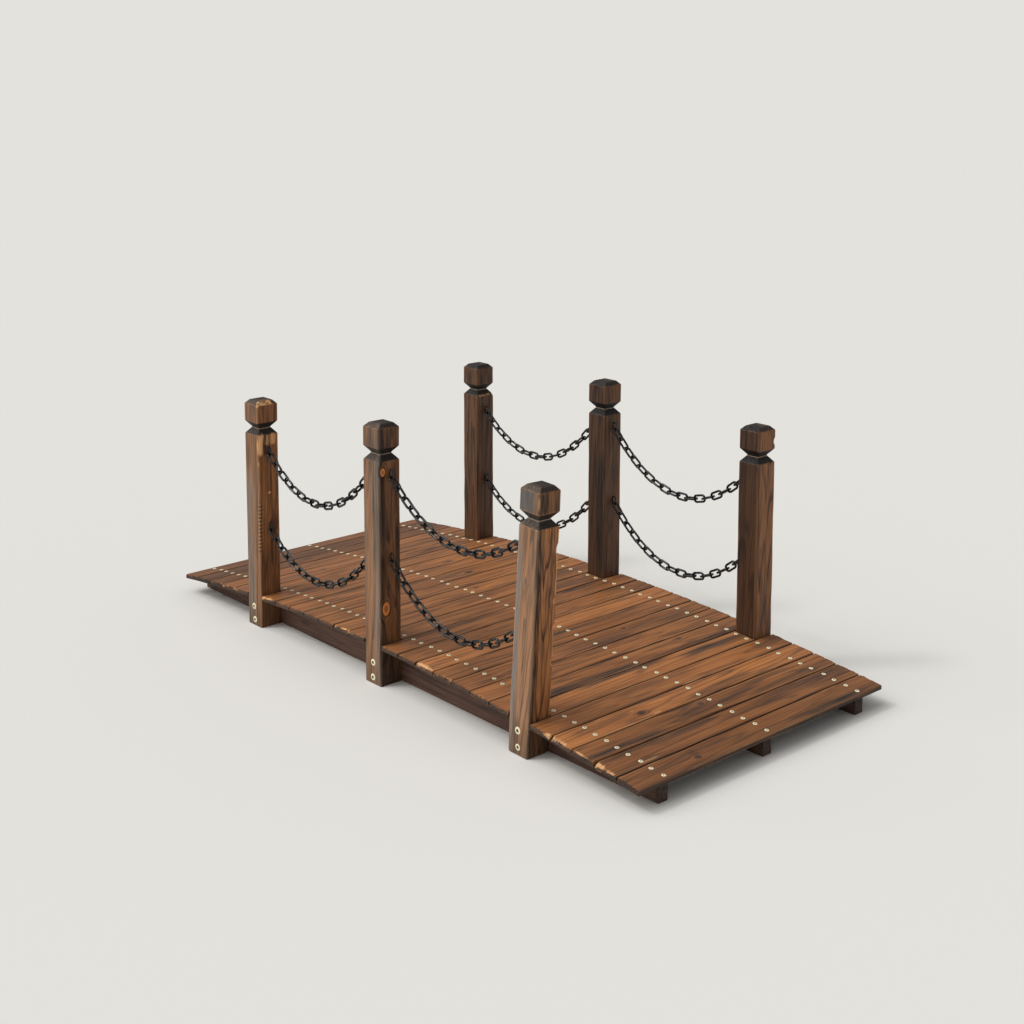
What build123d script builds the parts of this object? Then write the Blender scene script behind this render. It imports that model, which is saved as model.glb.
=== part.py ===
from build123d import *
from math import asinh, cos, cosh, degrees, radians, sin, sinh, sqrt
import os

# A small arched garden footbridge in stained fir, in millimetres, +Z up.
# The origin is on the ground under the middle of the bridge. The walk runs along X.
# "Right" is -Y and "left" is +Y, as seen by someone walking towards +X.
# Posts, planks and chain bays are numbered from the -X end.

# Walk: planks laid across the arch, side by side along it
plank_pitch = 55.5            # from one plank to the next, along the arch
plank_gap = 2.2
plank_thickness = 10.0
plank_easing = 1.5            # rounding of a plank's two long upper edges
walk_width = 680.0
planks_per_bay = 8            # plank pitches from one post to the next
planks_past_post = 5          # whole planks between an end post and the end of the walk

# Stringers: three boards on edge, flat on the ground and cut to an arc on top
arch_radius = 6100.0
crown_height = 78.0           # from the ground to the planks' seat at mid-span
stringer_thickness = 24.0
stringer_setback = 4.0        # of a stringer's end from the end of the walk

# Posts: square, bolted to the outside of the outer stringers
post_size = 52.0
post_edge_radius = 2.0
post_inset = 1.5              # of a post's outer face from the line of the plank ends
post_clearance = 1.5          # between a short plank's end and the post beside it
end_post_height = 502.0       # from the ground to the upper edge of the cap
middle_post_height = 528.0
cap_height = 39.0             # of the cap's upright faces
cap_chamfer = 8.0             # around the cap's flat top, measured level
cap_rise = 8.5                # of that chamfer, measured upright
groove_height = 27.5          # of the V-groove under the cap
neck_size = 29.5              # across the flats at the bottom of the groove
foot_trim = 4.0               # sawn off each foot, level with the ground
lean_along = 2.3              # degrees, of the right-hand post at the +X end, towards +X
lean_inward = 1.4             # degrees, of the same post, towards the walk
leaning_post_drop = 9.0       # of the same post's cap below the other end posts' caps

# Chains: two in each bay on each side, hung from screw eyes in the posts
chain_wire = 4.8
link_inner_length = 25.6
link_width = 18.6
link_play = 0.3               # between a link and the next
links_per_chain = 17
eye_wire = 3.0
eye_height = 22.0
eye_width = 12.0
eye_standoff = 1.0            # from the post's face to the eye's ring
eye_drops = {"upper": 92.0, "lower": 263.0}     # from the end posts' cap edges to the eyes' tops
middle_eye_lift = 11.0        # of the middle posts' eyes above the place with the same drop

# Sizes that follow
plank_width = plank_pitch - plank_gap
plank_count = 2 * (planks_per_bay + planks_past_post) + 1
post_numbers = [planks_past_post, planks_past_post + planks_per_bay, planks_past_post + 2 * planks_per_bay]
outer_face_y = walk_width / 2 - post_inset
inner_face_y = outer_face_y - post_size
short_plank_length = 2 * (inner_face_y - post_clearance)
sides = {"right": -1, "left": 1}
leaning_post = ("right", 2)


def seat_angle(number):
    """Angle at the arch's centre, in degrees, from mid-span to the plank with this number."""
    return degrees((number - (plank_count - 1) / 2) * plank_pitch / arch_radius)


def seat_plane(number):
    """Plane on the stringers' top under a plank: x along the walk, z square to the arch."""
    angle = radians(seat_angle(number))
    origin = (arch_radius * sin(angle), 0, crown_height - arch_radius * (1 - cos(angle)))
    return Plane(origin=origin, x_dir=(cos(angle), 0, -sin(angle)), z_dir=(sin(angle), 0, cos(angle)))


def seat_height(x):
    """Height of the stringers' top above the ground."""
    return crown_height - arch_radius + sqrt(arch_radius ** 2 - x ** 2)


def save(piece, name):
    """Name a finished piece and write it."""
    piece.part.label = name
    export_step(piece.part, f"parts/{name}.step")


os.makedirs("parts", exist_ok=True)

# Planks. The three in line with the posts are short and fit between them.
for number in range(plank_count):
    seat = seat_plane(number)
    length = short_plank_length if number in post_numbers else walk_width
    with BuildPart(seat) as plank:
        Box(plank_width, length, plank_thickness, align=(Align.CENTER, Align.CENTER, Align.MIN))
        long_edges = plank.edges().filter_by(Axis.Y)
        fillet(long_edges.sort_by(Axis(seat.origin, seat.z_dir))[-2:], plank_easing)
    save(plank, f"plank_{number + 1:02d}")

# Stringers
walk_half_length = plank_count * plank_pitch / 2 - plank_gap / 2
stringer_end = arch_radius * sin(walk_half_length / arch_radius) - stringer_setback
stringer_lines = {
    "right": -inner_face_y + stringer_thickness / 2,
    "centre": 0.0,
    "left": inner_face_y - stringer_thickness / 2,
}
for place, y in stringer_lines.items():
    with BuildPart() as stringer:
        with BuildSketch(Plane.XZ.offset(-y)):
            with BuildLine():
                top_end = (stringer_end, seat_height(stringer_end))
                Polyline((-top_end[0], top_end[1]), (-stringer_end, 0), (stringer_end, 0), top_end)
                ThreePointArc(top_end, (0, crown_height), (-top_end[0], top_end[1]))
            make_face()
        extrude(amount=stringer_thickness / 2, both=True)
    save(stringer, f"stringer_{place}")


# Posts
def post_base(number, side, along=0.0, inward=0.0):
    """Plane at the foot of a post, on its axis.

    A lean turns the post about its inner face, where the stringer beside it is highest.
    """
    x = seat_plane(post_numbers[number]).origin.X
    height = seat_height(abs(x) - post_size / 2)
    seat = Plane(origin=(x, side * inner_face_y, height)).rotated((side * inward, along, 0))
    return Plane(seat.location * Pos(0, side * post_size / 2, -height))


def post_height(row, number):
    """Height of a cap's upper edge. The middle posts are longer, so that their tops follow the arch."""
    if number == 1:
        return middle_post_height
    if (row, number) == leaning_post:
        return end_post_height - leaning_post_drop
    return end_post_height


bases = {}
for row, side in sides.items():
    for number in range(3):
        bases[row, number] = post_base(number, side)
bases[leaning_post] = post_base(2, sides["right"], lean_along, lean_inward)

for (row, number), base in bases.items():
    cap_edge = post_height(row, number)
    cap_bottom = cap_edge - cap_height
    neck = cap_bottom - groove_height / 2
    shoulder = cap_bottom - groove_height
    neck_edge_radius = post_edge_radius * neck_size / post_size
    cap_top_size = post_size - 2 * cap_chamfer
    with BuildPart() as post:
        with BuildSketch(base.offset(-foot_trim)):
            RectangleRounded(post_size, post_size, post_edge_radius)
        extrude(amount=shoulder + foot_trim)
        for low, high in ((shoulder, neck), (cap_bottom, neck)):
            with BuildSketch(base.offset(low)):
                RectangleRounded(post_size, post_size, post_edge_radius)
            with BuildSketch(base.offset(high)):
                RectangleRounded(neck_size, neck_size, neck_edge_radius)
            loft()
        with BuildSketch(base.offset(cap_bottom)):
            RectangleRounded(post_size, post_size, post_edge_radius)
        extrude(amount=cap_height)
        with BuildSketch(base.offset(cap_edge)):
            RectangleRounded(post_size, post_size, post_edge_radius)
        with BuildSketch(base.offset(cap_edge + cap_rise)):
            RectangleRounded(cap_top_size, cap_top_size, post_edge_radius * cap_top_size / post_size)
        loft()
        split(bisect_by=Plane.XY, keep=Keep.TOP)
    save(post, f"post_{row}_{number + 1}")


# Chains
def oval_ring(length, width, wire):
    """Bent round wire, in the XY plane with its long axis along X. Length and width are its outsides."""
    radius = (width - wire) / 2
    straight = (length - width) / 2
    with BuildPart() as ring:
        with BuildLine():
            Line((-straight, radius), (straight, radius))
            ThreePointArc((straight, radius), (straight + radius, 0), (straight, -radius))
            Line((straight, -radius), (-straight, -radius))
            ThreePointArc((-straight, -radius), (-straight - radius, 0), (-straight, radius))
        with BuildSketch(Plane(origin=(0, radius, 0), z_dir=(1, 0, 0))):
            Circle(wire / 2)
        sweep()
    return ring.part


def screw_eye():
    """Ring with a shank that ends at the post's face. X is up and the shank points to -Y."""
    ring = oval_ring(eye_height, eye_width, eye_wire)
    with BuildPart() as eye:
        add(ring)
        with BuildSketch(Plane(origin=(0, -eye_width / 2 - eye_standoff, 0), z_dir=(0, 1, 0))):
            Circle(eye_wire / 2)
        extrude(amount=eye_standoff + eye_wire / 2)
    return eye.part


def eye_plane(row, number, level, facing):
    """Plane of an eye on a post: x up the post, y away from it, facing +1 or -1 along the walk.

    The leaning post's eyes are as high as the other end posts' eyes.
    """
    out = facing * (post_size / 2 + eye_standoff + eye_width / 2)
    top = middle_post_height + middle_eye_lift if number == 1 else end_post_height
    height = top - eye_drops[level] - eye_height / 2
    base = bases[row, number]
    return Plane(origin=base.from_local_coords((out, 0, height)), x_dir=base.z_dir, z_dir=base.y_dir * facing)


def hanging_points(start, finish, lead, step, count):
    """Points on a chain that hangs freely between two points, one step apart.

    The chain is a catenary. The first point lies a lead from the start, and the last a lead
    from the finish.
    """
    length = step * count + 2 * lead
    level = Vector(finish.X - start.X, finish.Y - start.Y, 0)
    span = level.length
    rise = finish.Z - start.Z
    level_length = sqrt(length ** 2 - rise ** 2)
    tight, slack = span * 100, span / 100
    for _ in range(80):
        curve = (tight + slack) / 2
        if 2 * curve * sinh(span / (2 * curve)) > level_length:
            slack = curve
        else:
            tight = curve
    lowest = span / 2 - curve * asinh(rise / level_length)
    points = []
    for index in range(count + 1):
        along = lead + step * index
        out = lowest + curve * asinh(along / curve - sinh(lowest / curve))
        up = curve * (cosh((out - lowest) / curve) - cosh(lowest / curve))
        points.append(start + level.normalized() * out + Vector(0, 0, up))
    return points


def link_planes(points):
    """One plane a link, x along the chain, each link turned a quarter from the one before."""
    across = (points[-1] - points[0]).cross(Vector(0, 0, 1)).normalized()
    planes = []
    for index, (first, second) in enumerate(zip(points, points[1:])):
        along = (second - first).normalized()
        normal = across if index % 2 else across.cross(along)
        planes.append(Plane(origin=(first + second) * 0.5, x_dir=along, z_dir=normal))
    return planes


link = oval_ring(link_inner_length + 2 * chain_wire, link_width, chain_wire)
eye = screw_eye()
# A chain pulls from the middle of an eye's lower bend, and its end link starts inside the wire.
eye_hold = (-(eye_height - eye_width) / 2, 0, 0)
lead = (eye_width - link_play) / 2 - eye_wire
for row in sides:
    for level in eye_drops:
        for bay in range(2):
            start_eye = eye_plane(row, bay, level, 1)
            finish_eye = eye_plane(row, bay + 1, level, -1)
            start = start_eye.from_local_coords(eye_hold)
            finish = finish_eye.from_local_coords(eye_hold)
            points = hanging_points(start, finish, lead, link_inner_length - link_play, links_per_chain)
            with BuildPart() as chain:
                with Locations(start_eye.location, finish_eye.location):
                    add(eye)
                with Locations(*[plane.location for plane in link_planes(points)]):
                    add(link)
            save(chain, f"chain_{row}_{level}_{bay + 1}")
            lowest_point = min(point.Z for point in points)
            print(f"chain_{row}_{level}_{bay + 1}: lowest {lowest_point:.1f} above the ground,",
                  f"solids {len(chain.part.solids())}")
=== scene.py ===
from math import ceil, cos, pi, radians, sin

import bpy
import numpy as np
from mathutils import Euler, Matrix, Vector


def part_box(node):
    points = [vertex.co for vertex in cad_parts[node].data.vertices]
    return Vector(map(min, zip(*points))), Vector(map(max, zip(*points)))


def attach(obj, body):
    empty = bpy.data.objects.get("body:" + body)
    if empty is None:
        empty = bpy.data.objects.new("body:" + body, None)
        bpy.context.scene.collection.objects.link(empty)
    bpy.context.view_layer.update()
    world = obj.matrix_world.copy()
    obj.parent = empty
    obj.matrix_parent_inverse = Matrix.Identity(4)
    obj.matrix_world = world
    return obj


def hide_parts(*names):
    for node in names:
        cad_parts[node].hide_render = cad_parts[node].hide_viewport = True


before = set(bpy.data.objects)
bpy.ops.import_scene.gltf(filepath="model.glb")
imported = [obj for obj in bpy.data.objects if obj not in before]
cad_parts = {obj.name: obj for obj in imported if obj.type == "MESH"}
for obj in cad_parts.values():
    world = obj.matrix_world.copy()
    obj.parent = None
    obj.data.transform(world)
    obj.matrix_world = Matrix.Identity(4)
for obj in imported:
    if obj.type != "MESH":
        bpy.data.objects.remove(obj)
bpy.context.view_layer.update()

# The looks of a small arched garden footbridge: scorched and oiled fir, zinc-plated screws and bolts,
# black enamelled chain. Sizes are in millimetres, also in the materials, until MM turns them to metres.
# The walk runs along X. "Right" is -Y and "left" is +Y, and planks are numbered from the -X end.
scene = bpy.context.scene
MM = 0.001

# Sizes that repeat the part's own
plank_pitch = 55.5
plank_gap = 2.2
plank_thickness = 10.0
plank_count = 27
walk_width = 680.0
post_planks = [5, 13, 21]  # the short planks, counted from 0
short_plank_length = 570.0
arch_radius = 6100.0
crown_height = 78.0
stringer_thickness = 24.0
stringer_ys = {"right": -274.5, "centre": 0.0, "left": 274.5}
post_size = 52.0
post_axis_y = 312.5
end_post_height = 502.0
middle_post_height = 528.0
leaning_post_drop = 9.0
cap_height = 39.0
cap_chamfer = 8.0
cap_rise = 8.5
groove_height = 27.5
neck_size = 29.5
lean_along = 2.3
lean_inward = 1.4
sides = {"right": -1, "left": 1}
leaning_post = ("right", 2)


# Small tools

def linear(code):
    """The linear colour of an sRGB hex value such as #A0703C, with alpha 1."""
    channels = [int(code[index:index + 2], 16) / 255 for index in (1, 3, 5)]
    return tuple(c / 12.92 if c <= 0.04045 else ((c + 0.055) / 1.055) ** 2.4 for c in channels) + (1.0,)


def smooth(value):
    """A soft step: 0 at 0 and below, 1 at 1 and above."""
    value = np.clip(value, 0.0, 1.0)
    return value * value * (3 - 2 * value)


def wander(rng, along, spacing):
    """A smooth random line between -1 and 1 whose bends lie about one spacing apart."""
    first = np.min(along)
    count = int(ceil((np.max(along) - first) / spacing)) + 2
    heights = rng.uniform(-1, 1, count)
    place = (along - first) / spacing
    index = np.floor(place).astype(int)
    part = smooth(place - index)
    return heights[index] * (1 - part) + heights[index + 1] * part


def put(name, data):
    """Put a mesh, light or camera in the scene and return its object."""
    placed = bpy.data.objects.new(name, data)
    scene.collection.objects.link(placed)
    return placed


def empty_tree(owner):
    """The cleared node tree of a material or world."""
    owner.use_nodes = True
    owner.node_tree.nodes.clear()
    return owner.node_tree


def add_node(tree, kind, inputs, **settings):
    """Add a shader node and return its outputs.

    An input, by name or number, is a value or another node's output.
    """
    made = tree.nodes.new("ShaderNode" + kind)
    for name, value in settings.items():
        setattr(made, name, value)
    for name, value in inputs.items():
        if isinstance(value, bpy.types.NodeSocket):
            tree.links.new(value, made.inputs[name])
        else:
            made.inputs[name].default_value = value
    return made.outputs


def seat(index):
    """Where a plank lies on the stringers' top: its angle, x and z."""
    angle = (index - (plank_count - 1) / 2) * plank_pitch / arch_radius
    return angle, arch_radius * sin(angle), crown_height - arch_radius * (1 - cos(angle))


def seat_height(x):
    """Height of the stringers' top above the ground."""
    return crown_height - arch_radius + np.sqrt(arch_radius ** 2 - np.square(x))


def graded(length, step, close_step, close_zones):
    """Places from 0 to a length, a step apart, closer together in the zones."""
    places = set(np.round(np.linspace(0, length, int(ceil(length / step)) + 1), 3))
    for start, finish in close_zones:
        inside = np.arange(max(start, 0), min(finish, length), close_step)
        outside = [p for p in places if p in (0, length) or not start < p < finish]
        clear = [p for p in inside if min(abs(p - other) for other in outside) > 0.3 * close_step]
        places = set(outside) | set(np.round(clear, 3))
    return np.array(sorted(places))


# Meshes

def store_vector(mesh, name, values):
    """Keep three numbers a point on a mesh, for its material."""
    layer = mesh.attributes.new(name, "FLOAT_VECTOR", "POINT")
    layer.data.foreach_set("vector", np.asarray(values, np.float32).ravel())


def closed_mesh(name, points, quads, triangles):
    """A closed mesh from points in millimetres, with its faces looking outward."""
    halves = np.concatenate([quads[:, [0, 1, 2]], quads[:, [0, 2, 3]], triangles])
    first, second, third = (points[halves[:, corner]] for corner in range(3))
    if np.einsum("ij,ij->", first, np.cross(second, third)) < 0:
        quads, triangles = quads[:, ::-1], triangles[:, ::-1]
    mesh = bpy.data.meshes.new(name)
    mesh.from_pydata((points * MM).tolist(), [], quads.tolist() + triangles.tolist())
    mesh.update()
    mesh.validate()
    return mesh


def tube_faces(rings, count):
    """The quads between rings of points, the points' numbers in a ring, and each one's neighbour."""
    step = np.arange(count)
    after = (step + 1) % count
    quad = np.stack([step, after, after + count, step + count], axis=1)
    return [quad + ring * count for ring in range(rings - 1)], step, after


def show(name, mesh, *materials):
    """Put a mesh in the scene as a piece, with its materials and its soft bends shaded smooth."""
    for material in materials:
        mesh.materials.append(material)
    mesh.shade_smooth()
    mesh.set_sharp_from_angle(angle=radians(35))
    piece = put(name, mesh)
    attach(piece, "root")
    return piece


# Timber
# A timber is a row of sections along its length. In its own axes u runs along it, v across and w up.
# Each section is a rounded rectangle with the same number of points.
ARRIS_STEPS = 3
TOP, BACK, BOTTOM, FRONT = range(4)  # the faces that look to +w, -v, -w and +v
HEAD_RINGS = (0.93, 0.72, 0.4)       # rings of points on a sawn end, as shares of the section


def ring_layout(steps):
    """What each point of a section lies on: a side, face or arris, and how far along that it is."""
    layout = []
    for side, count in enumerate(steps):
        layout += [(side, "arris", step / ARRIS_STEPS) for step in range(ARRIS_STEPS + 1)]
        layout += [(side, "face", step / count) for step in range(1, count)]
    return layout


def section_points(layout, half_wide, half_high, rounding):
    """Points v, w of a section, one row a station. Corner 0 is at +v +w and they run to -v."""
    corner_signs = ((1, 1), (-1, 1), (-1, -1), (1, -1))
    v, w = np.zeros((2, len(half_wide), len(layout)))

    def arc_point(corner, part):
        sign_v, sign_w = corner_signs[corner]
        angle = (corner + part) * pi / 2
        r = rounding[:, corner]
        return sign_v * (half_wide - r) + r * cos(angle), sign_w * (half_high - r) + r * sin(angle)

    for column, (side, kind, part) in enumerate(layout):
        if kind == "arris":
            v[:, column], w[:, column] = arc_point(side, part)
        else:
            corners = arc_point(side, 1.0), arc_point((side + 1) % 4, 0.0)
            for axis, start, finish in zip((v, w), *corners):
                axis[:, column] = start * (1 - part) + finish * part
    return v, w


def face_weight(layout, face):
    """1 for the points on a face and on its two arrises, 0 elsewhere."""
    touching = [side == face or kind == "arris" and (side - 1) % 4 == face for side, kind, _ in layout]
    return np.array(touching, float)


class Timber:
    """One piece of fir: its shape, its place in the log, and the marks on it.

    The marks are shares from 0 to 1: char is soot, and in places painted shade; ash a weathered grey film;
    bare fresh broken wood, and on some plank edges a painted highlight; knot a knot's own wood.
    Tone is how light the stain is, with painted shade in it in places.
    """

    def __init__(self, name, seed, stations, half_wide, half_high, steps, rounding):
        self.name = name
        self.rng = np.random.default_rng(seed)
        self.layout = ring_layout(steps)
        stations = np.asarray(stations, float)
        count = len(stations)
        half_wide, half_high = (np.broadcast_to(half, count).astype(float) for half in (half_wide, half_high))
        worn = [1 + 0.45 * wander(self.rng, stations, 45) for _ in range(4)]
        limit = np.minimum(half_wide, half_high) * 0.4
        rounding = np.stack([np.minimum(rounding * share, limit) for share in worn], axis=1)
        self.v, self.w = section_points(self.layout, half_wide, half_high, rounding)
        self.along = np.repeat(stations[:, None], len(self.layout), axis=1)
        self.char, self.ash, self.bare, self.knot = np.zeros((4, *self.v.shape))
        self.tone = np.ones_like(self.v)
        self.arris = np.tile([float(kind == "arris") for _, kind, _ in self.layout], (count, 1))
        self.log_v, self.log_w = self.v.copy(), self.w.copy()
        self.faces = {face: face_weight(self.layout, face)[None, :] for face in range(4)}

    def across(self, face):
        """The coordinate that runs across a face."""
        return self.v if face in (TOP, BOTTOM) else self.w

    def band(self, face, along, half_length, across, half_width, soft=0.8):
        """How much each point lies in a long band on a face, 1 along its middle. Its edges wander."""
        ends = smooth((half_length - np.abs(self.along - along)) / (0.45 * half_length))
        sway = 0.12 * half_width * wander(self.rng, self.along, 45)
        edge = smooth((half_width - np.abs(self.across(face) - across + sway)) / (soft * half_width))
        return ends * edge * self.faces[face]

    def mark(self, kind, share):
        """Put a mark of some kind where a share is above what is there."""
        setattr(self, kind, np.maximum(getattr(self, kind), share))

    def part_grain(self, face, along, across, radius, strength, own_tone=None):
        """Put a knot on a face. The grain parts round it, as water does round a stone."""
        du = (self.along - along) / 1.6
        dc = self.across(face) - across
        away = np.maximum(du * du + dc * dc, (0.6 * radius) ** 2)
        bend = dc * np.minimum(radius * radius / away, 1.4)
        target = self.log_v if face in (TOP, BOTTOM) else self.log_w
        target -= bend * self.faces[face]
        inside = smooth(1.25 - np.sqrt(du * du + dc * dc) / radius) * self.faces[face]
        self.mark("knot", inside * strength)
        if own_tone is not None:
            self.tone += (own_tone - self.tone) * inside

    def dent(self, along, across, radius, depth):
        """Press a round hollow into the top. Returns how deep each point went, as a share."""
        far = np.sqrt((self.along - along) ** 2 + (self.v - across) ** 2) / radius
        press = smooth(1.6 - 1.6 * far) * self.faces[TOP]
        self.w -= press * depth
        return press

    def chip(self, along, across, up, size, depth, pale):
        """Break a little wood out of an arris, at a point of it, and leave the break pale."""
        reach = np.sqrt(((self.along - along) / size[0]) ** 2 + ((self.v - across) / size[1]) ** 2
                        + ((self.w - up) / size[2]) ** 2)
        push = smooth(1.3 - 1.3 * reach)
        self.v -= push * depth * np.sign(across)
        self.w -= push * depth * 0.7 * np.sign(up)
        self.mark("bare", push * pale)

    def piece(self, place, pith, drift, material):
        """Make the piece. Place turns u, v, w into the frame's axes. Pith is the log's heart in v, w."""
        marks = (self.char, self.ash, self.bare, self.knot, self.arris, self.tone)
        points, logs, stains = [], [], []

        def lay(u, v, w, log_v, log_w, marks):
            """Add points, with their places in the log and their marks."""
            points.append(np.stack(place(u, v, w), axis=-1).reshape(-1, 3))
            from_heart = log_v - pith[0] - drift[0] * u, log_w - pith[1] - drift[1] * u
            logs.append(np.stack([u, *from_heart], axis=-1).reshape(-1, 3))
            stains.append(np.stack(marks, axis=-1).reshape(-1, len(marks)))

        def on_end(station, share):
            """The marks on a sawn end, at a share of the way out from its middle."""
            kept = (1.0, share, share, 0.0, 0.0, 1.0)
            return [mark[station] * part for mark, part in zip(marks, kept)]

        lay(self.along, self.v, self.w, self.log_v, self.log_w, marks)
        for station in (0, -1):
            for share in HEAD_RINGS:
                v, w = (axis[station].mean() + (axis[station] - axis[station].mean()) * share
                        for axis in (self.v, self.w))
                lay(self.along[station], v, w, v, w, on_end(station, share))
        for station in (0, -1):
            u, v, w = (axis[station].mean(keepdims=True) for axis in (self.along, self.v, self.w))
            lay(u, v, w, v, w, [mark.mean(keepdims=True) for mark in on_end(station, 0.0)])

        stations, columns = self.v.shape
        quads, step, after = tube_faces(stations, columns)
        fans = []
        first_ring = stations * columns
        for end, way in ((0, 1), (1, -1)):
            outer = end * (stations - 1) * columns
            for ring in range(len(HEAD_RINGS)):
                inner = first_ring + (end * len(HEAD_RINGS) + ring) * columns
                quad = np.stack([outer + step, inner + step, inner + after, outer + after], axis=1)
                quads.append(quad[:, ::way])
                outer = inner
            centre = np.full(columns, first_ring + 2 * len(HEAD_RINGS) * columns + end)
            fan = np.stack([outer + step, centre, outer + after], axis=1)
            fans.append(fan[:, ::way])
        mesh = closed_mesh(self.name, np.concatenate(points), np.concatenate(quads), np.concatenate(fans))
        stains = np.concatenate(stains)
        store_vector(mesh, "log", np.concatenate(logs) * MM)
        store_vector(mesh, "stain", stains[:, :3])
        store_vector(mesh, "spot", stains[:, 3:])
        return show(self.name, mesh, material)


# Materials

soft_step = {"interpolation_type": "SMOOTHSTEP"}


def drawn_out_noise(tree, place, length, width, detail, roughness=0.5):
    """Noise whose lumps have a length along the grain and a width across it."""
    scale = 1 / (length * MM), 1 / (width * MM), 1 / (width * MM)
    scaled = add_node(tree, "VectorMath", {0: place, 1: scale}, operation="MULTIPLY")[0]
    return add_node(tree, "TexNoise",
                    {"Vector": scaled, "Scale": 1.0, "Detail": detail, "Roughness": roughness})


def grain_marks(tree, place, length, width, low, high, detail=2.0):
    """Soft marks drawn out along the grain, 0 to 1."""
    noise = drawn_out_noise(tree, place, length, width, detail, 0.55)[0]
    return add_node(tree, "MapRange", {0: noise, 1: low, 2: high}, **soft_step)[0]


def hairlines(tree, place, length, spacing, thickness):
    """Thin crooked lines along the grain, 1 on a line."""
    noise = drawn_out_noise(tree, place, length, spacing, 1.5)[0]
    off_line = add_node(tree, "Math", {0: noise, 1: 0.5}, operation="SUBTRACT")[0]
    off_line = add_node(tree, "Math", {0: off_line}, operation="ABSOLUTE")[0]
    half_line = 0.6 * thickness / spacing
    return add_node(tree, "MapRange", {0: off_line, 1: half_line, 2: 0.0}, **soft_step)[0]


def scorched_fir(name, early, late, glow, soot, heart, ring_width, waver, figure, worn_share, roughness):
    """Fir, sawn and planed, scorched with a flame and oiled: what planks, posts and stringers share.

    Figure is how strongly the late wood of a year shows.
    """
    material = bpy.data.materials.new(name)
    tree = empty_tree(material)
    log, stain, spot = (add_node(tree, "Attribute", {}, attribute_name=layer)["Vector"]
                        for layer in ("log", "stain", "spot"))
    char, ash, bare = add_node(tree, "SeparateXYZ", {0: stain})
    knot, arris, tone = add_node(tree, "SeparateXYZ", {0: spot})

    # The log is not straight, so the grain wanders sideways by some millimetres over a hand's span.
    drift = drawn_out_noise(tree, log, 220, 30, 2.0)["Color"]
    drift = add_node(tree, "VectorMath", {0: drift, 1: (0.5, 0.5, 0.5)}, operation="SUBTRACT")[0]
    grain = add_node(tree, "VectorMath", {0: drift, 1: (0.0, waver * MM, waver * MM), 2: log},
                     operation="MULTIPLY_ADD")[0]

    # Growth rings round the heart of the log: the late wood of a year darkens slowly and ends at once.
    flat = add_node(tree, "VectorMath", {0: grain, 1: (0.0, 1.0, 1.0)}, operation="MULTIPLY")
    radius = add_node(tree, "VectorMath", {0: flat[0]}, operation="LENGTH")["Value"]
    uneven = grain_marks(tree, log, 600, 30, 0.2, 0.8)
    uneven = add_node(tree, "Math", {0: uneven, 1: 1.5}, operation="MULTIPLY")[0]
    per_ring = 1 / (ring_width * MM)
    years = add_node(tree, "Math", {0: radius, 1: per_ring, 2: uneven}, operation="MULTIPLY_ADD")[0]
    season = add_node(tree, "Math", {0: years}, operation="FRACT")[0]
    rise = add_node(tree, "MapRange", {0: season, 1: 0.6, 2: 0.92}, **soft_step)[0]
    fall = add_node(tree, "MapRange", {0: season, 1: 1.0, 2: 0.95}, **soft_step)[0]
    late_wood = add_node(tree, "Math", {0: rise, 1: fall}, operation="MULTIPLY")[0]

    # Fibres are finer than the render shows, so they are drawn 2.2 mm wide.
    fibre = grain_marks(tree, grain, 120, 2.2, 0.34, 0.66, 3.0)
    streak = grain_marks(tree, grain, 240, 11, 0.36, 0.64)
    cloud = grain_marks(tree, log, 170, 30, 0.45, 0.75)
    dark_line = hairlines(tree, grain, 400, 22, 1.6)
    depth = add_node(tree, "Math", {0: late_wood, 1: figure}, operation="MULTIPLY")[0]
    depth = add_node(tree, "Math", {0: fibre, 1: 0.42, 2: depth}, operation="MULTIPLY_ADD")[0]

    # Soot, and the painted shade that shares its channel, lies in patches and clings to the fibres.
    patch = add_node(tree, "Math", {0: cloud, 1: 0.3, 2: char}, operation="MULTIPLY_ADD")[0]
    cling = add_node(tree, "Math", {0: fibre, 1: 0.55, 2: 0.6}, operation="MULTIPLY_ADD")[0]
    burnt_and_shaded = add_node(tree, "Math", {0: patch, 1: cling}, operation="MULTIPLY", use_clamp=True)[0]

    # The weather's film is brown where it is thin and grey where it is thick.
    cover = add_node(tree, "Math", {0: fibre, 1: -0.7, 2: 1.25}, operation="MULTIPLY_ADD")[0]
    film = add_node(tree, "Math", {0: ash, 1: cover}, operation="MULTIPLY", use_clamp=True)[0]
    thick = add_node(tree, "MapRange", {0: ash, 1: 0.5, 2: 0.9}, **soft_step)[0]
    grey = add_node(tree, "Mix", {0: thick, 6: linear("#A08A74"), 7: linear("#827A73")}, data_type="RGBA")[2]

    # A knot has a dark rim, its own wood inside and a dark core.
    rim = add_node(tree, "MapRange", {0: knot, 1: 0.1, 2: 0.4}, **soft_step)[0]
    inside = add_node(tree, "MapRange", {0: knot, 1: 0.45, 2: 0.75}, **soft_step)[0]
    core = add_node(tree, "MapRange", {0: knot, 1: 0.85, 2: 1.0})[0]

    # The arrises lose their stain in places.
    thin = add_node(tree, "Math", {0: fibre, 1: arris}, operation="MULTIPLY")[0]
    rubbed = add_node(tree, "Math", {0: thin, 1: streak}, operation="MULTIPLY")[0]

    # Each layer covers the ones before it: where it lies, how strongly, and its colour.
    layers = (
        (depth, 1.0, linear(late)), (streak, 0.3, linear(glow)), (dark_line, 0.5, linear(soot)),
        (burnt_and_shaded, 1.0, linear(soot)), (film, 1.0, grey), (rim, 0.7, linear(soot)),
        (inside, 1.0, linear(heart)), (core, 0.7, linear(late)), (rubbed, worn_share, linear("#DCA06A")),
    )
    colour = linear(early)
    for place, strength, layer_colour in layers:
        share = add_node(tree, "Math", {0: place, 1: strength}, operation="MULTIPLY")[0]
        colour = add_node(tree, "Mix", {0: share, 6: colour, 7: layer_colour}, data_type="RGBA")[2]
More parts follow.
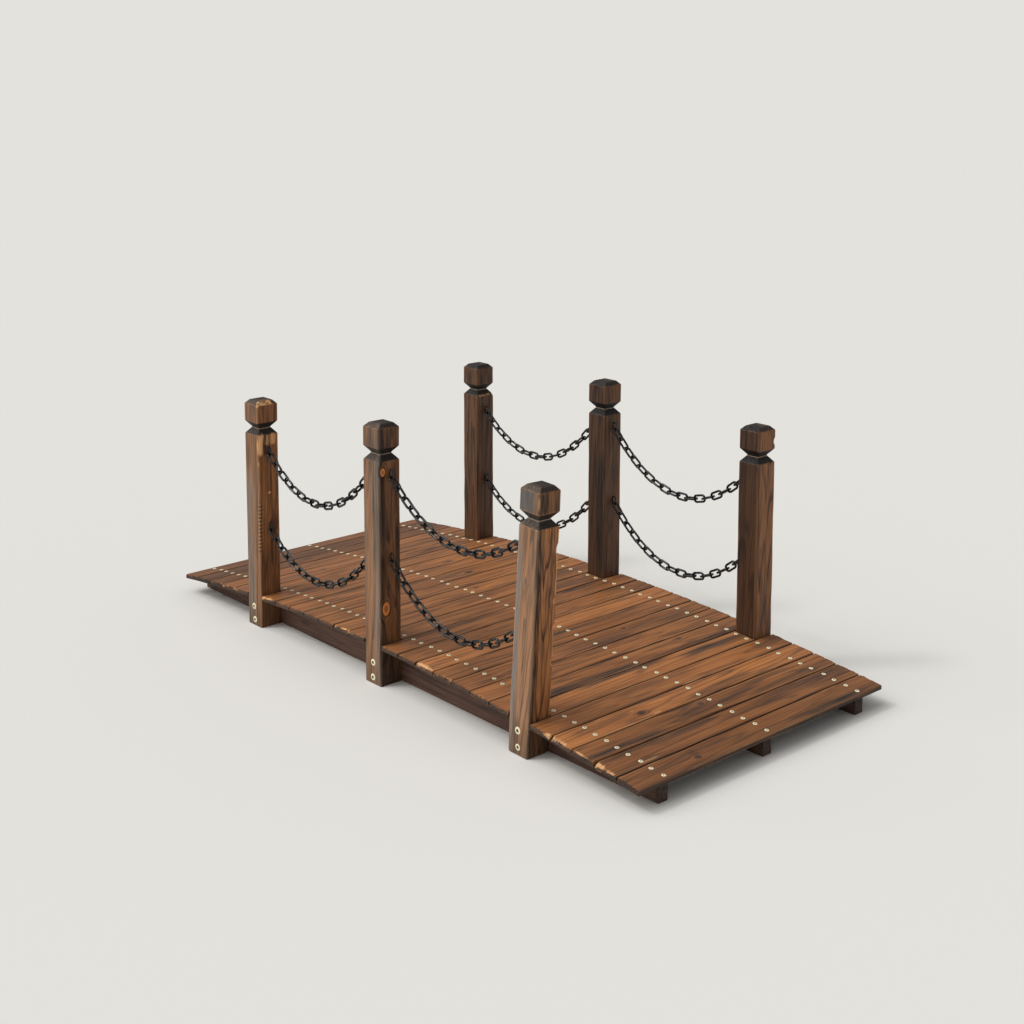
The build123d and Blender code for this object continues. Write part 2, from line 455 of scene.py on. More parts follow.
    # A break shows the bright wood inside, whatever the stain's tone, and so does the painted highlight on
    # the lit edges of planks.
    toned = add_node(tree, "VectorMath", {0: colour, "Scale": tone}, operation="SCALE")[0]
    torn = add_node(tree, "Math", {0: fibre, 1: -0.5}, operation="MULTIPLY")[0]
    torn = add_node(tree, "Math", {0: streak, 1: -0.6, 2: torn}, operation="MULTIPLY_ADD")[0]
    torn = add_node(tree, "Math", {0: bare, 1: 1.8, 2: torn}, operation="MULTIPLY_ADD", use_clamp=True)[0]
    toned = add_node(tree, "Mix", {0: torn, 6: toned, 7: linear("#E2AA74")}, data_type="RGBA")[2]

    gloss = add_node(tree, "Math", {0: fibre, 1: 0.18, 2: roughness}, operation="MULTIPLY_ADD")[0]
    gloss = add_node(tree, "Math", {0: burnt_and_shaded, 1: 0.12, 2: gloss}, operation="MULTIPLY_ADD", use_clamp=True)[0]
    height = add_node(tree, "Math", {0: fibre, 1: -0.5, 2: late_wood}, operation="MULTIPLY_ADD")[0]
    height = add_node(tree, "Math", {0: dark_line, 1: -0.8, 2: height}, operation="MULTIPLY_ADD")[0]
    bump = add_node(tree, "Bump", {"Strength": 0.6, "Distance": 0.6 * MM, "Height": height})
    surface = add_node(tree, "BsdfPrincipled",
                       {"Base Color": toned, "Roughness": gloss, "IOR": 1.45, "Normal": bump[0]})
    add_node(tree, "OutputMaterial", {0: surface[0]})
    return material


def coated_steel(name, coat, rubbed_coat, metallic, roughness, speck):
    """Steel wire or a pressed steel head with a thin coat, rubbed in specks of one size."""
    material = bpy.data.materials.new(name)
    tree = empty_tree(material)
    place = add_node(tree, "TexCoord", {})["Object"]
    grit = add_node(tree, "TexNoise", {"Vector": place, "Scale": 1 / (speck * MM), "Detail": 3.0})[0]
    rubbed = add_node(tree, "MapRange", {0: grit, 1: 0.55, 2: 0.72}, **soft_step)[0]
    tint = add_node(tree, "Mix", {0: rubbed, 6: linear(coat), 7: linear(rubbed_coat)}, data_type="RGBA")[2]
    gloss = add_node(tree, "MapRange", {0: grit, 1: 0.3, 2: 0.7, 3: roughness - 0.08, 4: roughness + 0.12})[0]
    bump = add_node(tree, "Bump", {"Strength": 0.3, "Distance": 0.2 * MM, "Height": grit})
    surface = add_node(tree, "BsdfPrincipled",
                       {"Base Color": tint, "Metallic": metallic, "Roughness": gloss, "Normal": bump[0]})
    add_node(tree, "OutputMaterial", {0: surface[0]})
    return material


# Deck boards, flat sawn: orange-brown with dark crooked streaks a thumb apart, and sooty patches.
plank_fir = scorched_fir("scorched_fir_planks", early="#9E6232", late="#4E2D14", glow="#B0743E",
                         soot="#2C2622", heart="#3A2415", ring_width=8.5, waver=4.0, figure=0.32,
                         worn_share=0.5, roughness=0.5)
# Posts, boxed heart: redder wood with wavering dark lines, greyed on the weather side, worn arrises.
post_fir = scorched_fir("scorched_fir_posts", early="#AE7240", late="#4A2A16", glow="#C07E44",
                        soot="#2B1F18", heart="#D27E3C", ring_width=8.0, waver=3.0, figure=0.8,
                        worn_share=0.6, roughness=0.5)
# Stringers, rough sawn and stained darker: an even reddish brown with a faint long grain.
stringer_fir = scorched_fir("scorched_fir_stringers", early="#67493A", late="#4C362B", glow="#6C4C3A",
                            soot="#241C18", heart="#3A2415", ring_width=9.0, waver=5.0, figure=0.3,
                            worn_share=0.2, roughness=0.58)
# Black enamel on steel wire: deep black, glossy on the bends, with small grey rubbed spots.
chain_enamel = coated_steel("black_enamelled_steel", "#050506", "#1B1C1E", 0.0, 0.2, 4.0)
# Zinc plate, passivated yellow, drawn non-metallic in a bright warm cream that stands in for the heads'
# glints:
# a painted highlight. Finely mottled.
yellow_zinc_with_painted_glint = coated_steel("yellow_zinc_steel_painted_glint", "#F2E8C4", "#D8C896", 0.0, 0.35, 1.2)
# What fills a screw's recess: grime and oil, and painted shade where the recess lies in shade. Matt and
# nearly black.
recess_dirt_and_shade = coated_steel("recess_dirt_and_shade", "#241C16", "#18130F", 0.0, 0.8, 1.0)


# Planks

screw_rows = {"right": -268.0, "centre": 4.0, "left": 276.0}
screw_spread = 14.0                  # of a plank's two screws from its middle line
screw_strays = np.array([1.6, 2.0])  # the furthest that a screw strays across and along a plank
screw_zone = 9.0                     # round a screw, where the plank has more points
hollow_radius = 6.5                  # of the hollow that a screw pressed into the wood
hollow_depth = 0.8
screw_rng = np.random.default_rng(40)
screw_seats = {row: [] for row in screw_rows}

# How light the stain of each plank is, from the -X end
plank_tones = [0.7, 0.56, 0.56, 1.04, 1.04, 1.04, 1.05, 1.2, 1.2, 1.05, 1.05, 1.2, 1.02, 1.0,
               1.02, 0.92, 1.5, 0.98, 1.0, 1.15, 0.95, 1.32, 1.07, 1.37, 0.92, 0.84, 0.72]
# Sooty bands on each plank: middle along, half length, middle across (+X is plus), half width, strength.
# On planks 21 and 23, the bands beside the foot of the third left post are painted shade round that foot.
soot_and_shade_bands = {
    27: [(220, 150, 16, 13, 0.62), (-230, 150, 19, 7, 0.3), (-168, 10, -8, 16, 0.45)],
    26: [(-190, 180, -20, 9, 0.6), (210, 180, -14, 22, 0.62), (-18, 22, -3, 5, 0.35)],
    25: [(-250, 130, 15, 11, 0.8), (215, 170, 15, 15, 0.6), (120, 16, 9, 4, 0.6), (25, 130, 0, 26, 0.6)],
    24: [(70, 110, 14, 18, 0.5), (-230, 90, -6, 12, 0.45), (-140, 22, 4, 11, 0.5)],
    23: [(-30, 130, -10, 13, 0.4), (300, 60, -4, 20, 0.6), (130, 90, 18, 8, 0.45)],
    22: [(-120, 150, 24, 6, 0.6), (200, 120, -4, 18, 0.85), (-50, 150, -22, 9, 0.85)],
    21: [(-120, 170, 19, 15, 0.95), (290, 60, 20, 14, 0.7), (170, 190, 20, 12, 0.6)],
    20: [(230, 110, 16, 12, 0.5), (60, 280, -25, 5, 0.5)],
    19: [(10, 120, 20, 9, 0.6), (120, 260, 4, 24, 0.45), (-230, 120, 16, 12, 0.5)],
    18: [(60, 220, -18, 10, 0.55)], 17: [(120, 260, 22, 5, 0.4)],
    15: [(-170, 190, -22, 10, 0.6), (220, 90, -22, 10, 0.7)], 14: [(210, 90, 4, 26, 0.55)],
    13: [(-20, 70, 4, 14, 0.3), (240, 120, 0, 26, 0.45)], 12: [(40, 50, -8, 5, 0.45)],
    11: [(10, 90, -20, 9, 0.45)], 10: [(92, 16, 7, 9, 0.6)],
    9: [(-190, 60, -18, 11, 0.5), (110, 140, -20, 10, 0.4)], 8: [(112, 22, 18, 10, 0.5)],
    6: [(200, 80, 6, 20, 0.5)], 5: [(190, 150, 0, 24, 0.4)], 4: [(160, 90, 21, 6, 0.5)],
    2: [(0, 330, 0, 26, 0.3)], 1: [(240, 90, -10, 12, 0.3)],
}
# Pale streaks, in the same way
pale_bands = {
    27: [(0, 190, 25, 3, 0.75), (-280, 60, -20, 7, 0.35)], 26: [(-250, 28, 20, 4, 0.5)],
    25: [(-150, 190, -26, 3, 0.4)],
    24: [(-220, 130, 25, 3, 0.8), (-115, 14, 20, 6, 0.9), (-152, 9, -12, 7, 0.95), (-225, 14, -22, 5, 0.7)],
    23: [(75, 85, 24, 3, 0.75)], 22: [(-180, 10, -23, 4, 0.8)],
    20: [(170, 180, 25, 3, 0.45), (-250, 60, 10, 9, 0.4)], 18: [(-230, 80, -26, 4, 0.6)],
    17: [(-300, 40, 0, 8, 0.3)], 16: [(180, 120, 10, 4, 0.5)],
    15: [(-220, 80, 18, 4, 0.4), (150, 110, 16, 3, 0.4)], 12: [(-20, 40, 16, 4, 0.6)],
    10: [(-280, 60, 20, 4, 0.7)], 6: [(70, 26, 17, 5, 0.5)], 4: [(160, 50, 5, 8, 0.4)],
}
# Knots on each plank: along, across, radius, strength
plank_knots = {
    27: [(-172, 6, 7, 0.5)], 25: [(-22, -13, 7, 0.45)], 24: [(-141, 5, 8, 0.7)], 21: [(160, -14, 6, 0.4)],
    19: [(105, -8, 7, 0.4)], 18: [(-120, 12, 6, 0.4)], 14: [(-180, 4, 7, 0.4)], 12: [(30, -6, 7, 0.5)],
    10: [(92, 4, 8, 0.6)], 8: [(115, 14, 7, 0.5)], 5: [(-120, 6, 6, 0.4)], 2: [(-200, 8, 7, 0.5)],
}
# Right-hand ends: how far the saw tore them, how pale the tear is, how sooty the rest is
end_tears = {
    27: (1.0, 0.0, 1.0), 26: (3.0, 0.45, 0.5), 25: (1.5, 0.15, 0.9), 24: (5.0, 0.6, 0.3),
    23: (2.0, 0.15, 0.9), 20: (2.5, 0.4, 0.6), 19: (1.0, 0.0, 0.8), 18: (2.5, 0.5, 0.5),
    17: (6.0, 0.95, 0.1), 16: (1.5, 0.25, 0.7), 15: (1.5, 0.25, 0.7), 12: (3.0, 0.5, 0.5),
    7: (3.0, 0.85, 0.2), 4: (3.0, 0.5, 0.5),
}
plain_end = (1.5, 0.2, 0.6)
# Splinters out of a right-hand end: across it, reach along, across and down, depth, paleness
end_chips = {
    26: [(-18, 13, 20, 14, 2.2, 1.0), (12, 8, 16, 10, 1.5, 0.7)], 25: [(-6, 5, 26, 6, 0.5, 0.7)],
    24: [(-23, 9, 12, 12, 1.6, 1.0), (2, 8, 26, 10, 1.5, 0.7)], 23: [(22, 9, 12, 12, 1.8, 1.0)],
    17: [(-4, 14, 32, 12, 2.0, 1.0)], 12: [(10, 8, 14, 10, 1.5, 0.9)], 7: [(0, 9, 22, 10, 1.5, 0.9)],
}
splinter_place = 2.0  # of a splinter's middle from the end
tear_reach = 14.0     # of the longest tears from the end
board_arris = 1.6     # rounding of the long edges of planks and stringers
end_arris = 0.5       # of the edges of a plank's ends
edge_drop = 0.25      # of a plank's upper edges below its middle line
end_trim = 0.6        # of a plank's ends from its full length
end_reach = 30.0      # of what is uneven at the ends
gap_shade_reach = 6.5      # of the soot and painted shade from a gap
lit_edge_reach = 2.6    # of the pale -X edge: rubbed wood and painted highlight


def make_plank(index):
    """One plank, in its own small unevenness, with its screw hollows, marks and torn ends."""
    number = index + 1
    length = short_plank_length if index in post_planks else walk_width
    half = length / 2
    half_wide = (plank_pitch - plank_gap) / 2
    half_high = plank_thickness / 2
    rng = np.random.default_rng(100 + number)
    rows = {row: y + half for row, y in screw_rows.items()}
    zones = [(middle - screw_zone, middle + screw_zone) for middle in rows.values()]
    zones += [(-1, tear_reach), (length - 10, length + 1)]
    stations = graded(length, 5.0, 1.5, zones)
    board = Timber(f"board_{number:02d}", 100 + number, stations, half_wide, half_high,
                   steps=(22, 3, 8, 3), rounding=board_arris)
    # The long edges waver and the top is a little rounded across.
    shrink = 0.55 + 0.35 * wander(board.rng, board.along, 120) + 0.2 * wander(board.rng, board.along, 31)
    board.v -= shrink * smooth(np.abs(board.v) / half_wide * 3 - 2) * np.sign(board.v)
    board.w -= edge_drop * (board.v / half_wide) ** 2 * (board.w > 0)
    # The sawn ends are eased and not quite square.
    skew = rng.uniform(-0.012, 0.012)
    from_start = board.along.copy()
    from_end = length - board.along
    board.along += smooth(1 - from_start / end_reach) * (end_trim + skew * board.v)
    board.along -= smooth(1 - from_end / end_reach) * (end_trim - skew * board.v)
    for end in (0, -1):
        board.v[end] *= 1 - end_arris / half_wide
        board.w[end] *= 1 - end_arris / half_high
    for end, (depth, pale, soot) in ((from_start, end_tears.get(number, plain_end)), (from_end, plain_end)):
        ragged = np.clip(0.35 + 0.5 * wander(rng, board.v, 5.0) + 0.4 * wander(rng, board.v, 13.0), 0.0, 1.0)
        upper = smooth((board.w + 2.5) / 5.0)
        lost = ragged * upper * smooth(1 - end / tear_reach)
        board.along += depth * lost * (1 if end is from_start else -1)
        board.w -= 0.45 * depth * lost * smooth(1 - end / 6.0)
        board.mark("bare", pale * smooth(1.6 * ragged) * smooth(1.4 - end / 4.0) * smooth(upper * 1.6))
        board.mark("char", soot * smooth(1 - end / 3.0) * (1 - board.bare))
    for kind, bands, share in (("char", soot_and_shade_bands, 1.0), ("bare", pale_bands, 0.55)):
        for along, half_length, across, half_width, strength in bands.get(number, ()):
            band = board.band(TOP, half + along, half_length, across, half_width)
            board.mark(kind, band * strength * share)
    for along, across, radius, strength in plank_knots.get(number, ()):
        board.part_grain(TOP, half + along, across, radius, strength)
    for across, *size, depth, pale in end_chips.get(number, ()):
        board.chip(splinter_place, across, half_high, size, depth, pale)
    # Soot and grime lie along the gaps, thick in some places and thin in others. They are stronger on the +X
    # edge, which also gets painted shade there. The -X edge is pale in places: rubbed wood and a painted
    # highlight where light catches that edge.
    to_edge = half_wide - np.abs(board.v)
    gap_soot_and_shade = 0.55 + 0.45 * wander(board.rng, board.along + 400 * (board.v > 0), 70)
    gap_soot_and_shade *= np.where(board.v > 0, 1.0, 0.45)
    board.mark("char", gap_soot_and_shade * smooth(1 - to_edge / gap_shade_reach) * (1 - 0.8 * board.bare))
    # Painted highlight along the -X upper edge, with rubbed wood.
    rubbed = np.clip(0.22 + 0.6 * wander(board.rng, board.along, 85), 0.0, 0.7)
    board.mark("bare", rubbed * smooth(1.3 - to_edge / lit_edge_reach) * (board.v < 0) * (board.w > 0))
    # The sides are dark below the upper edges.
    board.mark("char", 1 - smooth((board.w - half_high + 3.0) / 2.4))
    board.tone *= plank_tones[index] * (1 + 0.1 * wander(board.rng, board.along, 130))
    board.tone *= 1 + 0.1 * wander(board.rng, board.v, 17) * (board.w > 0)
    for row, middle in rows.items():
        for way in (1, -1):
            across, along = (way * screw_spread, middle) + screw_rng.uniform(-screw_strays, screw_strays)
            pressed = board.dent(along, across, hollow_radius, hollow_depth)
            board.mark("char", 0.8 * pressed)
            screw_seats[row].append((index, along - half, across))
    angle, seat_x, seat_z = seat(index)

    def place(u, v, w):
        up = w + half_high
        return seat_x + v * cos(angle) + up * sin(angle), u - half, seat_z - v * sin(angle) + up * cos(angle)

    pith = (rng.uniform(-45, 45), -rng.uniform(14, 60))
    drift = (rng.uniform(-0.03, 0.03), rng.uniform(-0.03, 0.03))
    piece = board.piece(place, pith, drift, plank_fir)
    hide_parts(f"plank_{number:02d}")


for index in range(plank_count):
    make_plank(index)


# Stringers

plank_shade_and_soot = 14.0  # how far the soot and painted shade reach down from the planks, and in from the ends
ground_darkening = 7.0  # how far the darkening reaches up from the ground


def make_stringer(order, side):
    """One board on edge, cut to the arch on top, dark with soot and painted shade under the planks and at its
    ends, and darker near the ground.
    """
    low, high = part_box(f"stringer_{side}")
    length = (high.x - low.x) / MM
    stations = graded(length, 7.0, 2.0, [(-1, 10), (length - 10, length + 1)])
    half_high = seat_height(stations - length / 2) / 2
    board = Timber(f"bearer_{side}", 300 + order, stations, stringer_thickness / 2, half_high,
                   steps=(6, 12, 6, 12), rounding=board_arris)
    for end in (0, -1):
        board.v[end] *= 0.95
        board.w[end] *= 0.985
    half = half_high[:, None]
    # Soot and painted shade under the planks and at the ends, and a darkening near the ground.
    board.mark("char", 0.95 * smooth(1.2 - (half - board.w) / plank_shade_and_soot))
    board.mark("char", 0.4 * smooth(1 - (board.w + half) / ground_darkening))
    for from_end in (board.along, length - board.along):
        board.mark("char", 0.7 * smooth(1 - from_end / plank_shade_and_soot))
    board.w += half

    def place(u, v, w):
        return u - length / 2, stringer_ys[side] - v, w

    pith = (30.0 - 9 * order, 60.0 + 8 * order)
    piece = board.piece(place, pith, (0.004, -0.006), stringer_fir)
    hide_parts(f"stringer_{side}")


for order, side in enumerate(stringer_ys):
    make_stringer(order, side)


# Posts

def post_place(number, row):
    """Where a post stands: the point it leans about, its turn, and its axis's foot from there."""
    side = sides[row]
    along, inward = (lean_along, lean_inward) if (row, number) == leaning_post else (0.0, 0.0)
    _, x, _ = seat(post_planks[number])
    height = float(seat_height(abs(x) - post_size / 2))
    pivot = Vector((x, side * (post_axis_y - post_size / 2), height))
    turn = Euler((radians(side * inward), radians(along), 0.0)).to_matrix()
    return pivot, turn, Vector((0, side * post_size / 2, -height))


# Faces: outer is away from the walk, inner towards it, near looks to +X and far to -X.
# Bands on a post's face: kind, middle height, half length, middle across, half width, strength.
# Across an outer or inner face plus is +X; across a near or far face plus is towards the walk.
# The char bands that cover a whole face low down, by the foot, are painted shade there as well as grime.
post_bands = {
    ("right_3", "outer"): [
        ("ash", 225, 230, -22, 14, 1.0), ("ash", 230, 420, -24, 11, 0.7), ("ash", 474, 26, -9, 25, 1.0),
        ("char", 474, 26, -9, 25, 0.75), ("char", 20, 60, -20, 26, 0.5),
    ],
    ("right_3", "near"): [
        ("char", 474, 26, -14, 16, 0.85), ("char", 474, 26, 18, 5, 0.8), ("char", 330, 140, -21, 13, 0.9),
        ("char", 150, 260, -22, 10, 0.85), ("bare", 392, 34, 25, 3.5, 0.9),
        ("bare", 182, 22, 25, 3.5, 0.8), ("char", 35, 45, -4, 40, 0.75), ("char", 330, 120, 10, 2.5, 0.5),
        ("bare", 335, 52, 25, 3.5, 0.6), ("bare", 208, 36, 25, 3.5, 0.6),
    ],
    ("right_2", "outer"): [("ash", 230, 420, 17, 9, 0.75), ("char", 370, 170, 15, 12, 0.95)],
    ("right_2", "near"): [
        ("char", 260, 400, -20, 10, 0.85), ("char", 40, 60, 0, 30, 0.4), ("char", 400, 70, 16, 9, 0.6),
        ("char", 220, 160, 20, 8, 0.6),
    ],
    ("right_1", "outer"): [("bare", 230, 300, 25, 3, 0.42), ("ash", 150, 260, -12, 24, 0.7)],
    ("right_1", "near"): [
        ("char", 90, 120, 0, 30, 0.35), ("bare", 305, 4, 0, 5, 0.9), ("bare", 414, 30, -19, 9, 0.8),
        ("char", 412, 26, -7, 4, 0.9), ("bare", 424, 16, 8, 18, 0.58), ("bare", 506, 6, -3, 24, 0.65),
    ],
    ("left_1", "outer"): [("ash", 240, 320, 0, 20, 0.4)],
    ("left_1", "near"): [("bare", 436, 3, 2, 24, 0.45)],
    ("left_2", "outer"): [("ash", 240, 320, 10, 18, 0.4)],
    ("left_2", "inner"): [("char", 235, 170, 15, 12, 0.85)],
    ("left_3", "outer"): [("ash", 240, 320, -8, 16, 0.4)],
    ("left_3", "near"): [("bare", 240, 200, -24, 3, 0.35)],
}
# Knots on a post's face: height, across, radius, strength. A weak one only turns the grain.
post_knots = {
    ("right_2", "near"): [(441, -16, 8, 1.0), (160, -11, 13, 1.0)],
    ("right_3", "outer"): [(328, 2, 6, 0.25)], ("right_1", "near"): [(230, 8, 7, 0.2)],
    ("left_3", "inner"): [(300, -6, 7, 0.25)], ("left_2", "near"): [(330, -4, 7, 0.25)],
}
# How light the stain of a post's outer, inner, near and far faces is, and of its cap. The faces' numbers also
# hold
# painted shade: a face that lay in shade, such as the left posts' inner and near faces, is darker.
post_stain_and_shade_tones = {
    "right_1": (0.74, 0.74, 0.74, 0.74), "right_2": (0.82, 0.82, 0.5, 0.5), "right_3": (1.0, 1.0, 1.05, 1.05),
    "left_1": (0.8, 0.35, 0.27, 0.27), "left_2": (0.8, 0.18, 0.33, 0.33), "left_3": (0.85, 0.19, 0.66, 0.66),
}
cap_tones = {"right_1": 1.0, "right_2": 0.72, "right_3": 0.6, "left_1": 1.0, "left_2": 1.1, "left_3": 0.95}
# How grey the weather has made the outer faces
post_greys = {"right_1": 0.2}
plain_grey = 0.3
# Breaks out of a post's arrises: height, which arris (v, w signs), length, width, depth, paleness
post_chips = {
    "right_1": [(412, 1, -1, 28, 8, 2.4, 1.0), (372, 1, -1, 12, 4, 1.2, 0.9), (502, 1, -1, 7, 9, 1.8, 1.0)],
    "left_3": [(478, 1, 1, 10, 8, 1.8, 0.9), (300, 1, -1, 18, 4, 0.9, 0.4)],
    "left_1": [(436, 1, 1, 6, 8, 1.5, 0.8)],
    "right_3": [
        (383, 1, 1, 16, 8, 2.2, 1.0), (288, 1, 1, 11, 8, 2.4, 1.0), (235, 1, 1, 13, 7, 2.2, 0.9),
        (174, 1, 1, 11, 8, 2.4, 1.0), (14, 1, 1, 14, 6, 1.4, 0.8), (474, 1, -1, 22, 5, 0.6, 0.5),
    ],
    "right_2": [(505, 1, -1, 14, 5, 1.0, 0.1)],
}
# The heart of the log each post was sawn from: where it is at the foot (v, w), and its slope
post_hearts = {
    "right_1": ((-6, 14), (0.03, 0.02)), "left_1": ((12, -34), (-0.02, 0.05)),
    "right_2": ((-30, 6), (0.045, -0.02)), "left_2": ((-10, 16), (0.03, 0.03)),
    "right_3": ((-4, 9), (0.055, -0.03)), "left_3": ((-18, -6), (0.05, 0.02)),
}
# Small saw nicks in a post's front arris: lowest, highest, how far apart
post_nicks = {"right_1": (180, 282, 8.4)}
nick_size = (3.4, 8.0, 8.0)  # up the post and along its two faces
nick_soot = (3.0, 12.0)      # reach of the soot between nicks, up the post and across it
nick_depth = 1.8
nick_pale = 0.6
post_arris = 2.2       # rounding of a post's upright edges
edge_break = 0.6       # of the edges of groove, cap and foot
edge_reach = 0.8       # of that rounding up or down a face
neck_break = 0.2       # of the groove's bottom
neck_flat = 0.7        # half the height of the groove's bottom
saw_line_place = 0.8   # of the pale line in the groove, below its bottom
saw_line_height = 1.1  # half of it
foot_shade_and_splash_height = 80.0   # of the darker foot: painted shade and splashes


def make_post(number, row):
    """One post: square shaft, V-groove, chamfered cap, with worn arrises."""
    side = sides[row]
    title = f"{row}_{number + 1}"
    top_edge = middle_post_height if number == 1 else end_post_height
    if (row, number) == leaning_post:
        top_edge -= leaning_post_drop
    cap_bottom = top_edge - cap_height
    neck = cap_bottom - groove_height / 2
    shoulder = cap_bottom - groove_height
    full, eased = post_size / 2, post_size / 2 - edge_break
    narrow = neck_size / 2 + neck_break
    flat_top = post_size / 2 - cap_chamfer
    profile = [(0.0, eased), (1.0, full), (shoulder - edge_reach, full), (shoulder + 0.4, eased),
               (neck - neck_flat, narrow), (neck + neck_flat, narrow), (cap_bottom - 0.4, eased),
               (cap_bottom + edge_reach, full), (top_edge - edge_reach, full), (top_edge + 0.6, eased),
               (top_edge + cap_rise - 0.5, flat_top + 0.3), (top_edge + cap_rise, flat_top - edge_break)]
    heights = [height for height, _ in profile]
    chips = post_chips.get(title, ())
    zones = [(-1, 6), (shoulder - 6, top_edge + cap_rise + 1)]
    zones += [(height - length, height + length) for height, _, _, length, *_ in chips]
    if title in post_nicks:
        lowest, highest, apart = post_nicks[title]
        zones.append((lowest - 6, highest + 6))
    stations = sorted(set(graded(top_edge + cap_rise, 4.5, 1.6, zones)) | set(heights))
    stations = np.array([s for s in stations if s in heights or min(abs(s - h) for h in heights) > 0.5])
    half = np.interp(stations, heights, [size for _, size in profile])
    seed = 400 + 10 * number + (side > 0)
    board = Timber(f"pillar_{title}", seed, stations, half, half, (16, 16, 16, 16), post_arris)
    outer, inner = (TOP, BOTTOM) if side > 0 else (BOTTOM, TOP)
    faces = {"outer": outer, "inner": inner, "near": FRONT, "far": BACK}
    # Each face's tone is its stain, with painted shade in it.
    for face, tone in zip(faces.values(), post_stain_and_shade_tones[title]):
        board.tone *= 1 + (tone - 1) * board.faces[face]
    board.mark("ash", post_greys.get(title, plain_grey) * board.faces[outer])
    corner = np.clip(sum(board.faces.values()) - 1, 0, 1)
    board.tone = np.where(corner > 0, np.sqrt(board.tone), board.tone)
    for name, face in faces.items():
        way = 1 if name in ("outer", "inner") else -side
        for kind, height, half_length, across, half_width, strength in post_bands.get((title, name), ()):
            band = board.band(face, height, half_length, way * across, half_width, 0.4)
            board.mark(kind, band * strength)
        for height, across, radius, strength in post_knots.get((title, name), ()):
            own_tone = 1.25 if strength == 1.0 else None
            board.part_grain(face, height, way * across, radius, strength, own_tone)
    # The foot is darker: painted shade low on the post, and splashes.
    board.tone *= 1 - 0.3 * smooth(1 - board.along / foot_shade_and_splash_height)
    # The groove's faces were scorched black. At its bottom the saw left a thin pale line.
    in_groove = smooth(8.0 - 8.0 * np.abs(board.along - neck) / (groove_height / 2))
    on_top = smooth((board.along - top_edge) / 2.0)
    board.arris *= 1 - np.maximum(in_groove, 0.6 * on_top)
    board.mark("char", np.maximum(1.5 * in_groove, 1.2 * on_top * (1 - board.bare)))
    board.tone *= 1 - np.where(board.along > neck, 0.7, 0.4) * in_groove
    in_cap = smooth((board.along - cap_bottom) / 2.0)
    board.tone *= 1 + (cap_tones[title] - 1) * in_cap
    board.arris = np.maximum(board.arris, 0.35 * smooth(1.4 - np.abs(board.along - top_edge) / 1.6))
    saw_line = smooth(1.4 - np.abs(board.along - neck + saw_line_place) / saw_line_height)
    board.mark("ash", saw_line)
    board.char *= 1 - saw_line
    board.tone += (1.5 - board.tone) * saw_line
    for height, sign_v, sign_w, length, width, depth, pale in chips:
        board.chip(height, sign_v * full, sign_w * full, (length, width, width), depth, pale)
    if title in post_nicks:
        # Soot lies on the near face between the nicks.
        for height in np.arange(lowest, highest, apart):
            board.chip(height, full, -full, nick_size, nick_depth, nick_pale)
            up = (board.along - height + apart / 2) / nick_soot[0]
            aside = (board.w + full) / nick_soot[1]
            between = smooth(1.3 - 1.3 * np.sqrt(up ** 2 + aside ** 2)) * board.faces[FRONT]
            board.mark("char", between)
            board.tone *= 1 - 0.5 * between
    pivot, turn, to_axis = post_place(number, row)

    def place(u, v, w):
        x, y, z = v + to_axis.x, w + to_axis.y, u + to_axis.z
        moved = [turn[k][0] * x + turn[k][1] * y + turn[k][2] * z + pivot[k] for k in range(3)]
        return moved[0], moved[1], np.maximum(moved[2], 0.0)

    pith, drift = post_hearts[title]
    piece = board.piece(place, pith, drift, post_fir)
    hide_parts(f"post_{title}")


for row in sides:
    for number in range(3):
        make_post(number, row)


# Screws and bolts

def disc_head(profile, recess, turns, depth):
    """A round head: rings of points from under the rim to the crown, and a recess with a given outline.

    Returns points, quads, triangles, and how many of the quads and triangles lie in the recess.
    """
    angles = np.arange(turns) * 2 * pi / turns
    outline = np.array([recess(angle) for angle in angles])
    crown = profile[-1][1]
    rings = [(np.full(turns, radius), height) for radius, height in profile]
    rings += [(outline, crown), (outline * 0.86, crown - depth)]
    points = [np.stack([radii * np.cos(angles), radii * np.sin(angles), np.full(turns, height)], axis=1)
              for radii, height in rings]
    points.append(np.array([[0, 0, profile[0][1]], [0, 0, crown - depth * 1.1]]))
    quads, step, after = tube_faces(len(rings), turns)
    under, bottom = (np.full(turns, len(rings) * turns + extra) for extra in (0, 1))
    last = (len(rings) - 1) * turns
    fans = [np.stack([after, step, under], axis=1), np.stack([last + step, last + after, bottom], axis=1)]
    return np.concatenate(points), np.concatenate(quads), np.concatenate(fans), turns


def cross_outline(angle):
    """Half width of a cross recess in a direction."""
    arm, half_slot = 2.0, 0.55
    return min(arm, half_slot / max(min(abs(cos(angle)), abs(sin(angle))), 0.01))


def hex_outline(angle):
    """Half width of a hexagon socket in a direction."""
    half_flat, sector = 3.1, pi / 3
    return half_flat / cos((angle % sector) - sector / 2)


def scatter(name, head, seats):
    """Join copies of a head, each set by a matrix, into one piece with grime and painted shade in its
    recesses.
    """
    points, quads, fans, turns = head
    turned = [points @ np.array(matrix.to_3x3()).T + np.array(matrix.translation) for matrix in seats]
    starts = np.arange(len(seats))[:, None, None] * len(points)
    mesh = closed_mesh(name, np.concatenate(turned), (quads + starts).reshape(-1, 4),
                       (fans + starts).reshape(-1, 3))
    in_recess = np.concatenate([np.arange(len(quads)) >= len(quads) - turns] * len(seats)
                               + [np.arange(len(fans)) >= turns] * len(seats))
    piece = show(name, mesh, yellow_zinc_with_painted_glint, recess_dirt_and_shade)
    mesh.polygons.foreach_set("material_index", in_recess.astype(int))


